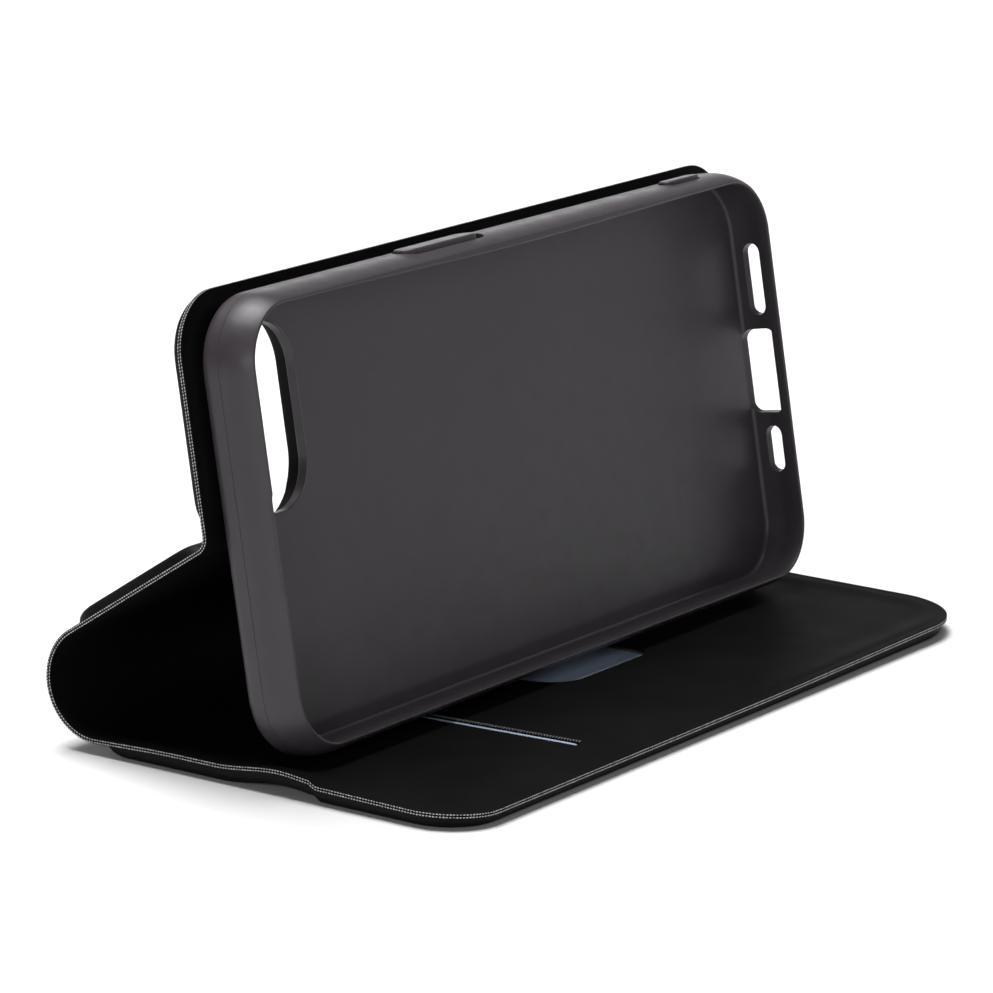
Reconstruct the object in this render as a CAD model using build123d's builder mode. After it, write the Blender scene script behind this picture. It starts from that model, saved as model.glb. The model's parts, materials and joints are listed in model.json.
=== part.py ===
"""A folding phone wallet case, standing open in landscape.

Frame: +X along the phone's long side, towards its port end, +Y to the back, +Z up.
The origin is the centre of the footprint, on the surface that the case stands on.

The case is a flexible cover with a moulded phone tray. The front cover lies on the table,
inner face up. A soft spine curls up behind it into the flap, which slopes forward to a
crease. The upper panel rises from the crease, and carries the tray. The tray's long edge
stands on the front cover.
"""

import os
from math import cos, radians, sin, tan

from build123d import *

# Overall size, in millimetres and degrees
cover_length = 165.2
cover_depth = 84.2
half_length = cover_length / 2
cover_corner = 10.5
cover_wide_corner = 15.5
flange = 1.5
tilt = 79.4
flap_slope = 34.0

# Layers of the cover, from the inner face outwards
lining_t = 0.6
foam_t = 0.4
pocket_t = 0.2
board_t = 1.2
skin_t = 0.6
tape_t = 0.2
core_t = foam_t + pocket_t + board_t
cover_t = lining_t + core_t + skin_t
seam_z = cover_t - lining_t
board_inset = flange + skin_t

# Soft spine and crease, measured to the seam between the lining and the outer skin
spine_r = 9.6
spine_turn = 180 - flap_slope
crease_r = 3.0
crease_turn = 180 - flap_slope - tilt
front_y = -cover_depth / 2
spine_y = cover_depth / 2 - spine_r - tape_t - skin_t
spine_z = seam_z + spine_r

# Phone tray
tray_length = 161.0
tray_width = 76.6
tray_depth = 10.2
tray_corner = 12.0
wall_t = 1.5
floor_t = 1.6
lip_h = 1.1
phone_t = tray_depth - floor_t - lip_h
lip_inset = 2.1
lip_bow = 0.7
back_edge_r = 2.4
rim_edge_r = 1.4
floor_edge_r = 1.4
tray_foot_y = -9.2
tray_clearance = 0.1
tape_pad_t = 0.8
panel_overhang = 1.3

# Camera cut-out, in the tray's own length and height
camera_left = -74.8
camera_right = -57.2
camera_low = 39.9
camera_high = 71.2
camera_corner = 8.3
camera_step = 2.4
camera_drop = 2.0
camera_rim = 1.2

# Openings in the end wall: height along the wall, depth behind the rim, size
speaker_slot = (55.5, -4.6, 12.9, 3.3)
port_opening = (38.5, -5.1, 15.2, 7.0)
mic_slot = (23.9, -4.5, 8.2, 3.2)
port_corner = 1.8
opening_taper = -14
through = 0.6

# Earpiece relief in the lip at the other end
ear_low = 27.9
ear_high = 44.2
ear_cut = 0.6

# Key pads in the upper wall: place along the tray, depth behind the rim, size
key_depth = 5.4
volume_at = -18.0
volume_length = 21.0
volume_width = 4.8
volume_slot_at = -17.1
power_at = 59.0
power_length = 10.6
power_width = 3.2
key_gap = 0.25
key_proud = 0.5
key_flange = 0.5
key_flange_t = 0.4
key_step = 0.8
key_slack = 0.05
volume_slot_length = volume_length + 1.8

# Card pocket: the slot in the lining and the thumb window
slot_length = 57.0
slot_width = 1.3
slot_x = -37.6
slot_y = -4.3
slot_slant = 4.8
stitch_width = 1.1
stitch_t = 0.3
window_x = 4.5
window_y = -2.5
window_length = 33.0
window_width = 17.0
window_corner = 8.0
window_tight_corner = 3.0

# Earpiece channel pressed up into the front cover's end
channel_y = -4.0
channel_width = 17.4
channel_depth = 12.0
channel_rise = 1.2

# Closure magnets and their keepers
magnet_length = 20.0
magnet_width = 5.0
magnet_t = 0.8
magnet_spread = 80.0
magnet_from_edge = 9.0


def slope(angle):
    """Return a unit vector in the YZ plane, at an angle from +Y towards +Z."""
    return Vector(0, cos(radians(angle)), sin(radians(angle)))


# The tray stands on its rounded lower back edge, just clear of the lining.
edge_lift = back_edge_r * (sin(radians(tilt)) + cos(radians(tilt)) - 1)
tray_foot_z = cover_t + tray_clearance + tray_depth * cos(radians(tilt)) - edge_lift
tray_up = slope(tilt)
tray_out = slope(tilt + 90)
tray_plane = Plane((0, tray_foot_y, tray_foot_z), x_dir=(1, 0, 0), z_dir=tray_out)
tray_axis = Axis(tray_plane.origin, tray_out)
tray_middle = tray_width / 2
seam_w = -(tray_depth + tape_pad_t + lining_t)

# The flap leaves the spine at this point of the seam, and climbs at its slope.
spine_centre = Vector(0, spine_y, spine_z)
flap_up = slope(180 - flap_slope)
flap_start = spine_centre + slope(90 - flap_slope) * spine_r
flap_plane = Plane(flap_start, x_dir=(1, 0, 0), z_dir=slope(270 - flap_slope))

# The crease's corner is where the flap's seam meets the upper panel's seam.
panel_base = tray_plane.origin + tray_out * seam_w
gap = panel_base - flap_start
turn_sine = sin(radians(crease_turn))
flap_reach = (gap.Z * tray_up.Y - gap.Y * tray_up.Z) / turn_sine
panel_low = (gap.Z * flap_up.Y - gap.Y * flap_up.Z) / turn_sine
crease_run = crease_r * tan(radians(crease_turn / 2))
flap_length = flap_reach - crease_run
panel_start = panel_low + crease_run
panel_top = tray_width + panel_overhang
crease_centre = flap_start + flap_up * flap_length + slope(90 - flap_slope) * crease_r

end_plane = Plane(
    tray_plane.origin + Vector(tray_length / 2, 0, 0), x_dir=tray_up, z_dir=(1, 0, 0)
)
key_plane = Plane(tray_plane.origin + tray_up * tray_width, x_dir=(1, 0, 0), z_dir=tray_up)
panel_plane = tray_plane.offset(seam_w)
front_plane = Plane.XY.offset(seam_z)


def panel_outline(fold, free, inset=0.0, fold_inset=0.0, right_corner=cover_corner):
    """Return a panel's outline from its fold to its free edge, with its free corners rounded."""
    way = 1 if free > fold else -1
    start = fold + way * fold_inset
    end = free - way * inset
    with BuildSketch() as outline:
        with Locations((0, (start + end) / 2)):
            Rectangle(cover_length - 2 * inset, abs(end - start))
        left_side = outline.vertices().group_by(Axis.X)[0]
        fillet(left_side.sort_by(Axis.Y)[-1 if way > 0 else 0], cover_corner - inset)
        right_side = outline.vertices().group_by(Axis.X)[-1]
        fillet(right_side.sort_by(Axis.Y)[-1 if way > 0 else 0], right_corner - inset)
    return outline.sketch


def front_outline(inset=0.0, fold_inset=0.0):
    """Return the front cover's outline, whose right free corner is rounder than its left one."""
    return panel_outline(spine_y, front_y, inset, fold_inset, cover_wide_corner)


def strip_outline(length, inset=0.0, end_inset=0.0):
    """Return a plain strip's outline, as wide as the cover, from 0 to its length."""
    with BuildSketch() as outline:
        with Locations((0, length / 2)):
            Rectangle(cover_length - 2 * inset, length - 2 * end_inset)
    return outline.sketch


def tray_outline(inset):
    """Return the tray's outline, drawn in by an inset."""
    with BuildSketch() as outline:
        with Locations((0, tray_middle)):
            width = tray_width - 2 * inset
            RectangleRounded(tray_length - 2 * inset, width, tray_corner - inset)
    return outline.sketch


def lip_outline():
    """Return the opening inside the lip, whose upper edge bows in at its middle."""
    half = tray_length / 2 - lip_inset
    high = tray_width - lip_inset
    with BuildSketch() as outline:
        with BuildLine():
            ThreePointArc((-half, high), (0, high - lip_bow), (half, high))
            Polyline((half, high), (half, lip_inset), (-half, lip_inset), (-half, high))
        make_face()
        fillet(outline.vertices(), tray_corner - lip_inset)
    return outline.sketch


def camera_outline(grow, low_grow=0.0):
    """Return the camera cut-out's outline, larger by an amount, and by its own amount below."""
    length = camera_right - camera_left + 2 * grow
    low = camera_low - low_grow
    high = camera_high + grow
    with BuildSketch() as outline:
        with Locations(((camera_left + camera_right) / 2, (low + high) / 2)):
            RectangleRounded(length, high - low, camera_corner + grow)
    return outline.sketch


def channel_outline():
    """Return the earpiece channel's outline, open at the front cover's end."""
    with BuildSketch() as outline:
        with Locations((-half_length, channel_y)):
            Rectangle(2 * channel_depth, channel_width)
    return outline.sketch


def window_outline():
    """Return the card pocket's thumb window."""
    with BuildSketch() as outline:
        with Locations((window_x, window_y)):
            Rectangle(window_length, window_width)
        corners = outline.vertices().sort_by(Axis.X)
        fillet(corners[:2], window_corner)
        fillet(corners[2:], window_tight_corner)
    return outline.sketch


def bar_outline(x, y, length, width, turn=0.0):
    """Return a plain bar's outline about its centre."""
    with BuildSketch() as outline:
        with Locations((x, y)):
            Rectangle(length, width, rotation=turn)
    return outline.sketch


def skin_pan(plane, edge, bulge, core):
    """Return a padded panel's outer skin: a thin flange, and a bulge round the core's space."""
    with BuildPart() as pan:
        with BuildSketch(plane.offset(-skin_t)):
            add(edge)
        extrude(amount=skin_t)
        with BuildSketch(plane.offset(-core_t - skin_t)):
            add(bulge)
        extrude(amount=core_t)
        with BuildSketch(plane.offset(-core_t)):
            add(core)
        extrude(amount=core_t, mode=Mode.SUBTRACT)
    return pan.part


def bent_section(centre, inner, outer, start, size):
    """Return a bent strip's section in the YZ plane: an arc's band between two radii."""
    middle = (centre.Y, centre.Z)
    with BuildSketch() as section:
        with BuildLine():
            outside = CenterArc(middle, outer, start, size)
            inside = CenterArc(middle, inner, start, size)
            Line(outside @ 0, inside @ 0)
            Line(outside @ 1, inside @ 1)
        make_face()
    return section.sketch


def key_outline(at, length, width, grow=0.0):
    """Return a key's rounded outline on the tray's upper wall, larger by an amount."""
    with BuildSketch() as outline:
        with Locations((at, key_depth)):
            SlotOverall(length + grow, width + grow)
    return outline.sketch


front_edge = front_outline()
front_bulge = front_outline(flange, flange / 2)
front_core = front_outline(board_inset, board_inset) - channel_outline()
flap_edge = strip_outline(flap_length)
flap_bulge = strip_outline(flap_length, flange, flange / 2)
flap_core = strip_outline(flap_length, board_inset, board_inset)
panel_edge = panel_outline(panel_start, panel_top)
panel_bulge = panel_outline(panel_start, panel_top, flange, flange / 2)
panel_hole = camera_outline(camera_step, camera_drop)
rim_hole = camera_outline(camera_step + camera_rim, camera_drop + camera_rim)
panel_core = panel_outline(panel_start, panel_top, board_inset, flange) - rim_hole
card_slot = bar_outline(slot_x, slot_y, slot_width, slot_length, slot_slant)
stitch_x = slot_x + (slot_width + stitch_width) / 2
stitch_row = bar_outline(stitch_x, slot_y, stitch_width, slot_length, slot_slant)

# Front cover: the outer skin wraps the board, with the pocket and the lining on top.
with BuildPart() as front_outer_skin:
    add(skin_pan(front_plane, front_edge, front_bulge, front_core))
    with BuildSketch(Plane.XY):
        add(channel_outline())
    extrude(amount=channel_rise, mode=Mode.SUBTRACT)

magnet_y = front_y + magnet_from_edge
board_top = -foam_t - pocket_t
with BuildPart() as closure_magnets:
    with BuildSketch(front_plane.offset(board_top - magnet_t)):
        with Locations((-magnet_spread / 2, magnet_y), (magnet_spread / 2, magnet_y)):
            Rectangle(magnet_length, magnet_width)
    extrude(amount=magnet_t)

with BuildPart() as front_board:
    with BuildSketch(front_plane.offset(-core_t)):
        add(front_core)
    extrude(amount=board_t)
    add(closure_magnets.part, mode=Mode.SUBTRACT)

with BuildPart() as pocket_lining:
    with BuildSketch(front_plane.offset(board_top)):
        add(front_core)
    extrude(amount=pocket_t)

with BuildPart() as front_foam:
    with BuildSketch(front_plane.offset(-foam_t)):
        add(front_core - window_outline())
    extrude(amount=foam_t)

with BuildPart() as slot_stitching:
    with BuildSketch(front_plane.offset(lining_t - stitch_t)):
        add(stitch_row)
    extrude(amount=stitch_t)

with BuildPart() as front_lining:
    with BuildSketch(front_plane):
        add(front_edge - window_outline() - card_slot)
    extrude(amount=lining_t)
    add(slot_stitching.part, mode=Mode.SUBTRACT)

# Soft spine: no board, only the lining and the skin with a reinforcing tape between them.
with BuildPart() as spine_lining:
    with BuildSketch(Plane.YZ):
        add(bent_section(spine_centre, spine_r - lining_t, spine_r, -90, spine_turn))
    extrude(amount=half_length, both=True)

with BuildPart() as spine_tape:
    with BuildSketch(Plane.YZ):
        add(bent_section(spine_centre, spine_r, spine_r + tape_t, -90, spine_turn))
    extrude(amount=half_length, both=True)

with BuildPart() as spine_outer_skin:
    skin_r = spine_r + tape_t
    with BuildSketch(Plane.YZ):
        add(bent_section(spine_centre, skin_r, skin_r + skin_t, -90, spine_turn))
    extrude(amount=half_length, both=True)

# Flap: a boarded strip between the spine and the crease.
with BuildPart() as flap_outer_skin:
    add(skin_pan(flap_plane, flap_edge, flap_bulge, flap_core))

with BuildPart() as flap_board:
    with BuildSketch(flap_plane.offset(-core_t)):
        add(flap_core)
    extrude(amount=core_t)

with BuildPart() as flap_lining:
    with BuildSketch(flap_plane):
        add(flap_edge)
    extrude(amount=lining_t)

# Crease: the bare lining and skin between the flap and the upper panel.
with BuildPart() as crease_lining:
    with BuildSketch(Plane.YZ):
        add(bent_section(crease_centre, crease_r, crease_r + lining_t, 90 + tilt, crease_turn))
    extrude(amount=half_length, both=True)

with BuildPart() as crease_skin:
    with BuildSketch(Plane.YZ):
        add(bent_section(crease_centre, crease_r - skin_t, crease_r, 90 + tilt, crease_turn))
    extrude(amount=half_length, both=True)

# Upper panel: boarded, with the camera cut-out through every layer.
with BuildPart() as panel_outer_skin:
    add(skin_pan(panel_plane, panel_edge, panel_bulge, panel_core))
    with BuildSketch(panel_plane.offset(-core_t - skin_t)):
        add(panel_hole)
    extrude(amount=core_t + skin_t, mode=Mode.SUBTRACT)

with BuildPart() as keeper_magnets:
    with BuildSketch(panel_plane.offset(-magnet_t)):
        keeper_v = panel_top - magnet_from_edge
        with Locations((-magnet_spread / 2, keeper_v), (magnet_spread / 2, keeper_v)):
            Rectangle(magnet_length, magnet_width)
    extrude(amount=magnet_t)

with BuildPart() as panel_board:
    with BuildSketch(panel_plane.offset(-core_t)):
        add(panel_core)
    extrude(amount=core_t)
    add(keeper_magnets.part, mode=Mode.SUBTRACT)

with BuildPart() as panel_lining:
    with BuildSketch(panel_plane):
        add(panel_edge - panel_hole)
    extrude(amount=lining_t)

with BuildPart() as tray_adhesive:
    pad_left = camera_right + camera_step + camera_rim
    pad_right = tray_length / 2 - back_edge_r - flange
    pad_low = panel_start + flange
    pad_high = tray_width - back_edge_r - flange
    with BuildSketch(panel_plane.offset(lining_t)):
        with Locations(((pad_left + pad_right) / 2, (pad_low + pad_high) / 2)):
            Rectangle(pad_right - pad_left, pad_high - pad_low)
    extrude(amount=tape_pad_t)

head_base = key_step + key_slack
recess_grow = 2 * (key_gap + key_flange)
volume_opening = key_outline(volume_slot_at, volume_slot_length, volume_width, 2 * key_gap)
volume_recess = key_outline(volume_slot_at, volume_slot_length, volume_width, recess_grow)
power_opening = key_outline(power_at, power_length, power_width, 2 * key_gap)
power_recess = key_outline(power_at, power_length, power_width, recess_grow)

# Phone tray: a moulded shell with a lip that holds the phone in.
with BuildPart() as phone_shell:
    with BuildSketch(tray_plane.offset(-tray_depth)):
        add(tray_outline(0))
    extrude(amount=tray_depth)
    fillet(phone_shell.edges().group_by(tray_axis)[0], back_edge_r)
    fillet(phone_shell.edges().group_by(tray_axis)[-1], rim_edge_r)
    with BuildSketch(tray_plane.offset(floor_t - tray_depth)):
        add(tray_outline(wall_t))
    extrude(amount=phone_t, mode=Mode.SUBTRACT)
    fillet(phone_shell.edges(Select.LAST).group_by(tray_axis)[0], floor_edge_r)
    with BuildSketch(tray_plane.offset(-lip_h)):
        add(lip_outline())
    extrude(amount=lip_h, mode=Mode.SUBTRACT)
    ear_x = -tray_length / 2 + lip_inset
    ear_relief = bar_outline(ear_x, (ear_low + ear_high) / 2, 2 * ear_cut, ear_high - ear_low)
    with BuildSketch(tray_plane.offset(-lip_h)):
        add(ear_relief)
    extrude(amount=lip_h, mode=Mode.SUBTRACT)
    with BuildSketch(tray_plane.offset(-tray_depth)):
        add(camera_outline(0))
    extrude(amount=floor_t, mode=Mode.SUBTRACT)
    with BuildSketch(end_plane):
        for height, depth, length, width in (speaker_slot, mic_slot):
            with Locations((height, depth)):
                SlotOverall(length, width)
        height, depth, length, width = port_opening
        with Locations((height, depth)):
            RectangleRounded(length, width, port_corner)
    extrude(amount=-wall_t - through, taper=opening_taper, mode=Mode.SUBTRACT)
    with BuildSketch(key_plane):
        add(volume_opening)
        add(power_opening)
    extrude(amount=-wall_t - through, mode=Mode.SUBTRACT)
    with BuildSketch(key_plane.offset(-key_step)):
        add(volume_recess)
        add(power_recess)
    extrude(amount=key_step - wall_t - through, mode=Mode.SUBTRACT)

# Key pads: a head that stands proud of the wall, and a thin flange that holds it in.
with BuildPart() as volume_key_pad:
    with BuildSketch(key_plane.offset(-head_base)):
        add(key_outline(volume_at, volume_length, volume_width))
    extrude(amount=head_base + key_proud)
    with BuildSketch(key_plane.offset(-head_base)):
        add(key_outline(volume_at, volume_length, volume_width, key_flange))
    extrude(amount=-key_flange_t)

with BuildPart() as power_key_pad:
    with BuildSketch(key_plane.offset(-head_base)):
        add(key_outline(power_at, power_length, power_width))
    extrude(amount=head_base + key_proud)
    with BuildSketch(key_plane.offset(-head_base)):
        add(key_outline(power_at, power_length, power_width, key_flange))
    extrude(amount=-key_flange_t)

pieces = {
    "front_outer_skin": front_outer_skin,
    "front_board": front_board,
    "closure_magnets": closure_magnets,
    "pocket_lining": pocket_lining,
    "front_foam": front_foam,
    "front_lining": front_lining,
    "slot_stitching": slot_stitching,
    "spine_lining": spine_lining,
    "spine_tape": spine_tape,
    "spine_outer_skin": spine_outer_skin,
    "flap_outer_skin": flap_outer_skin,
    "flap_board": flap_board,
    "flap_lining": flap_lining,
    "crease_lining": crease_lining,
    "crease_skin": crease_skin,
    "panel_outer_skin": panel_outer_skin,
    "panel_board": panel_board,
    "keeper_magnets": keeper_magnets,
    "panel_lining": panel_lining,
    "tray_adhesive": tray_adhesive,
    "phone_shell": phone_shell,
    "volume_key_pad": volume_key_pad,
    "power_key_pad": power_key_pad,
}

os.makedirs("parts", exist_ok=True)
for label, piece in pieces.items():
    piece.part.label = label
    export_step(piece.part, f"parts/{label}.step")
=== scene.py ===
"""A folding phone wallet case, standing open in landscape.

Everything is in metres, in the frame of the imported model: X along the phone's long side,
Y to the back, Z up. Each section makes one piece, in the order the case is put together.
"""

import json
from math import cos, pi, radians, sin

import bpy
import numpy as np
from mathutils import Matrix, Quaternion, Vector


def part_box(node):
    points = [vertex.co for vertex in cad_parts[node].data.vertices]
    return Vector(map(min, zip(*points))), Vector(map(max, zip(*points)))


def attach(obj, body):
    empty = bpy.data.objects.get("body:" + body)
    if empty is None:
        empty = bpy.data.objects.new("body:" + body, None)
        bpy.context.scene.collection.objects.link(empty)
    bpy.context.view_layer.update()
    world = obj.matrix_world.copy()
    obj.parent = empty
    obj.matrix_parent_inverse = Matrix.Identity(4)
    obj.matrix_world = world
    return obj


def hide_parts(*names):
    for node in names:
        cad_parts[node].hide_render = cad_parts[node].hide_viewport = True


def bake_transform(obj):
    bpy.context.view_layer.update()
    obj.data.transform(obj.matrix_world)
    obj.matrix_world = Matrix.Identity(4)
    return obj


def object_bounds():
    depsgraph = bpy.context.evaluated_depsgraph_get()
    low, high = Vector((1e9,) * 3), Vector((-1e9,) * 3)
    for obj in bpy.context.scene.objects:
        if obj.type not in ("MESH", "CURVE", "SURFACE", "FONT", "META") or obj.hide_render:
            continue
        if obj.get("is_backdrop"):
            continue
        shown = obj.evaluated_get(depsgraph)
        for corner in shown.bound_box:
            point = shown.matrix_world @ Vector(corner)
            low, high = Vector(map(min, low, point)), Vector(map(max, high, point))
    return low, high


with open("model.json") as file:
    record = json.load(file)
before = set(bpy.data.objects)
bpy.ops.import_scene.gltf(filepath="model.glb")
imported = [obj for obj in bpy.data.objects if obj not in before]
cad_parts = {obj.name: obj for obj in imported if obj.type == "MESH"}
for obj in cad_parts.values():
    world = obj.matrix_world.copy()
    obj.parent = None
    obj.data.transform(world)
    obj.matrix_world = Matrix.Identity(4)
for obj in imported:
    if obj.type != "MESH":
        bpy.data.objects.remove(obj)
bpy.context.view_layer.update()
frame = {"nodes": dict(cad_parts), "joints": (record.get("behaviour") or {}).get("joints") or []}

# Camera. It stands in front of the case's camera end, a little above the table, and far
# away behind a long lens, so that the case's upright lines stay nearly upright.
camera_data = bpy.data.cameras.new("long_lens")
camera_data.sensor_width = 36
camera_data.lens = 197.8
camera_data.clip_start = 0.05
camera_data.clip_end = 30
camera = bpy.data.objects.new("camera", camera_data)
camera.location = (-0.76276, -0.50194, 0.25846)
azimuth, elevation, roll = radians(-56.21), radians(13.87), radians(1.38)
away = Vector((sin(azimuth) * cos(elevation), -cos(azimuth) * cos(elevation), sin(elevation)))
camera.rotation_mode = "QUATERNION"
camera.rotation_quaternion = (-away).to_track_quat("-Z", "Y") @ Quaternion((0, 0, 1), roll)
bpy.context.scene.collection.objects.link(camera)
bpy.context.scene.camera = camera


# Table and studio. A plain pale table top runs out of sight, under large soft boxes: one
# overhead and behind, and low ones at the front, at each end and at the far corner.
def plain_material(name, colour, roughness, **values):
    """Return a new material and its Principled shader, with plain values on its sockets."""
    material = bpy.data.materials.new(name)
    material.use_nodes = True
    shader = material.node_tree.nodes["Principled BSDF"]
    shader.inputs["Base Color"].default_value = (*colour, 1)
    shader.inputs["Roughness"].default_value = roughness
    for socket, value in values.items():
        shader.inputs[socket.replace("_", " ")].default_value = value
    return material, shader


table_reach = 6.0
table_mesh = bpy.data.meshes.new("table_top")
table_corners = [(-table_reach, -table_reach, 0), (table_reach, -table_reach, 0)]
table_corners += [(table_reach, table_reach, 0), (-table_reach, table_reach, 0)]
table_mesh.from_pydata(table_corners, [], [(0, 1, 2, 3)])
table_top = bpy.data.objects.new("table_top", table_mesh)
bpy.context.scene.collection.objects.link(table_top)
table_material = plain_material("pale_table", (0.86, 0.86, 0.86), 0.6)[0]
table_mesh.materials.append(table_material)
table_top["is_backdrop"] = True

studio = bpy.data.worlds.new("studio")
studio.use_nodes = True
studio.node_tree.nodes["Background"].inputs["Color"].default_value = (1, 1, 1, 1)
studio.node_tree.nodes["Background"].inputs["Strength"].default_value = 0.05
bpy.context.scene.world = studio
bpy.context.scene.view_settings.view_transform = "Standard"


def soft_box(name, place, size, power):
    """Add a square area light at a place, turned to face the case."""
    data = bpy.data.lights.new(name, "AREA")
    data.size = size
    data.energy = power
    light = bpy.data.objects.new(name, data)
    light.location = place
    light.rotation_mode = "QUATERNION"
    aim = Vector((0, 0, 0.03)) - light.location
    light.rotation_quaternion = aim.to_track_quat("-Z", "Y")
    bpy.context.scene.collection.objects.link(light)


soft_box("overhead_box", (0.1, 0.6, 2.05), 1.3, 70)
soft_box("front_box", (-0.4, -2.1, 0.2), 0.9, 5)
soft_box("left_box", (-2.2, -0.8, 0.75), 0.5, 12)
soft_box("right_box", (2.2, -0.6, 0.5), 0.7, 4)
soft_box("back_box", (2.45, 1.65, 0.35), 1.1, 8)

# The cover's seam line. Lining and skin are two sheets of coated fabric, laid face to face
# and stitched down the edge. Folded, their seam runs along the table, curls up the spine,
# leans back up the flap, turns at the crease and climbs the upper panel.
MM = 0.001
lining_low, lining_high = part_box("front_lining")
spine_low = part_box("spine_lining")[0]
flap_low, flap_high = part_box("flap_lining")
panel_low, panel_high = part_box("panel_lining")
panel_tilt = radians(79.4)
flap_lean = radians(146)
spine_radius = 9.6 * MM
crease_radius = 3.0 * MM
lining_gauge = lining_high.z - lining_low.z
half_length = (lining_high.x - lining_low.x) / 2
cover_corner = 10.5 * MM
cover_wide_corner = 15.5 * MM
flap_rise = flap_high.z - flap_low.z + lining_gauge * cos(flap_lean)
panel_rise = panel_high.z - panel_low.z - lining_gauge * cos(panel_tilt)
stretches = [
    (spine_low.y - lining_low.y, 0.0),
    (spine_radius * flap_lean, flap_lean),
    (flap_rise / sin(flap_lean), 0.0),
    (crease_radius * (flap_lean - panel_tilt), panel_tilt - flap_lean),
    (panel_rise / sin(panel_tilt), 0.0),
]
folds = np.concatenate([[0], np.cumsum([length for length, turn in stretches])])
fold_turns = np.concatenate([[0], np.cumsum([turn for length, turn in stretches])])
cover_run = folds[-1]
fine_run = np.linspace(0, cover_run, 20001)
fine_turn = np.interp(fine_run, folds, fold_turns)
half_turn = (fine_turn[1:] + fine_turn[:-1]) / 2
fine_y = lining_low.y + np.cumsum(np.append(0, np.cos(half_turn) * np.diff(fine_run)))
fine_z = lining_low.z + np.cumsum(np.append(0, np.sin(half_turn) * np.diff(fine_run)))


def seam_place(x, run, offset):
    """Return points beside the seam.

    The seam's direction turns evenly along each fold and stays put between folds, so its
    place is the running sum of small steps in that direction. The offset is square to the
    direction, towards the lining.
    """
    turn = np.interp(run, fine_run, fine_turn)
    y = np.interp(run, fine_run, fine_y) - offset * np.sin(turn)
    z = np.interp(run, fine_run, fine_z) + offset * np.cos(turn)
    return np.stack([x, y, z], axis=-1)


def corner_radius(x, run):
    """Return the radius of the nearest free corner: the cover's front right one is wider."""
    return np.where((x > 0) & (run < cover_run / 2), cover_wide_corner, cover_corner)


def free_edge_depth(x, run):
    """Return how far in from the cover's cut edge each point is.

    Between the corners it is the distance to the nearest edge. In a corner it is the
    corner's radius less the distance to the corner's centre.
    """
    radius = corner_radius(x, run)
    end = np.minimum(run, cover_run - run)
    side = half_length - np.abs(x)
    corner = np.hypot(np.maximum(radius - side, 0), np.maximum(radius - end, 0))
    return np.where((side < radius) & (end < radius), radius - corner, np.minimum(side, end))


def half_width(side, run):
    """Return half the cover's width on one side, less a quarter circle at each free end."""
    radius = corner_radius(side, run)
    end = np.minimum(np.minimum(run, cover_run - run), radius)
    bite = radius - np.sqrt(np.maximum(radius**2 - (radius - end) ** 2, 0))
    return half_length - bite


def soft_step(value):
    """Return a smooth step from 0 to 1: three times the square less twice the cube."""
    t = np.clip(value, 0, 1)
    return t * t * (3 - 2 * t)


def plate_depth(x, run):
    """Return how far inside a boarded plate each point is, and nothing outside the plates.

    A plate fills the space between two folds. Its corners at a fold are rounded as a
    quarter circle, in the same way as the cover's own corners. Towards a fold the depth
    grows at half speed, because the skin is stretched over the board's end there.
    """
    fold_corner = 3 * MM
    fold_ease = 0.5
    depth = np.zeros_like(x)
    for first, last in ((folds[0], folds[1]), (folds[2], folds[3]), (folds[4], folds[5])):
        along = np.minimum(
            (run - first) * (fold_ease if first > 0 else 1),
            (last - run) * (fold_ease if last < cover_run else 1),
        )
        side = half_length - np.abs(x)
        corner = fold_corner - np.hypot(
            np.maximum(fold_corner - side, 0), np.maximum(fold_corner - along, 0)
        )
        inside = np.minimum(np.minimum(corner, along), np.minimum(side, free_edge_depth(x, run)))
        inside = np.where((side > fold_corner) & (along > fold_corner), inside, corner)
        inside = np.minimum(inside, free_edge_depth(x, run))
        depth = np.maximum(depth, np.where(along > 0, inside, 0))
    return depth


channel_rise = 1.2 * MM


def channel_lift(x, run):
    """Return how far the earpiece channel pushes the front cover up.

    It is highest at the left edge and fades inwards. Towards the front it drops in a short
    step, and towards the spine it dies away slowly.
    """
    y = lining_low.y + run
    rise = 0.6 * soft_step((y + 13.2 * MM) / (1.1 * MM)) + 0.4 * soft_step((y + 13 * MM) / (7 * MM))
    fall = 1 - soft_step((y + 6 * MM) / (13 * MM))
    fade = 1 - soft_step((x + half_length) / (12 * MM))
    return channel_rise * rise * fall * fade * (run < folds[1])


def edge_curl(x, run):
    """Return how far the front cover's cut edge has curled up at its two ends.

    It is a little along the left end, most beside the channel, and grows slowly along the
    front edge towards the right corner. It fades inwards, and dies away up the spine.
    """
    beside = soft_step(run / (45 * MM)) * (1 - soft_step((run - 55 * MM) / (25 * MM)))
    left = (0.3 + 0.5 * beside) * (1 - soft_step((x + half_length) / (9 * MM)))
    right = 0.6 * soft_step((x - 5 * MM) / (75 * MM))
    fade = 1 - soft_step(free_edge_depth(x, run) / (7 * MM))
    return MM * (left + right) * fade * (1 - soft_step((run - 60 * MM) / (35 * MM)))


def spaced(low, high, features, finest, widest, growth):
    """Return places from low to high, close together near the features and wider between.

    The spacing grows in proportion to the distance from the nearest feature. The places
    are read off the running sum of one over the spacing, at even steps.
    """
    fine = np.linspace(low, high, 8001)
    near = np.min([np.abs(fine - f) for f in features], axis=0)
    spacing = np.clip(finest + growth * near, finest, widest)
    count = np.cumsum(np.append(0, np.diff(fine) / spacing[1:]))
    steps = int(np.ceil(count[-1]))
    return np.interp(np.linspace(0, count[-1], steps + 1), count, fine)


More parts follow.
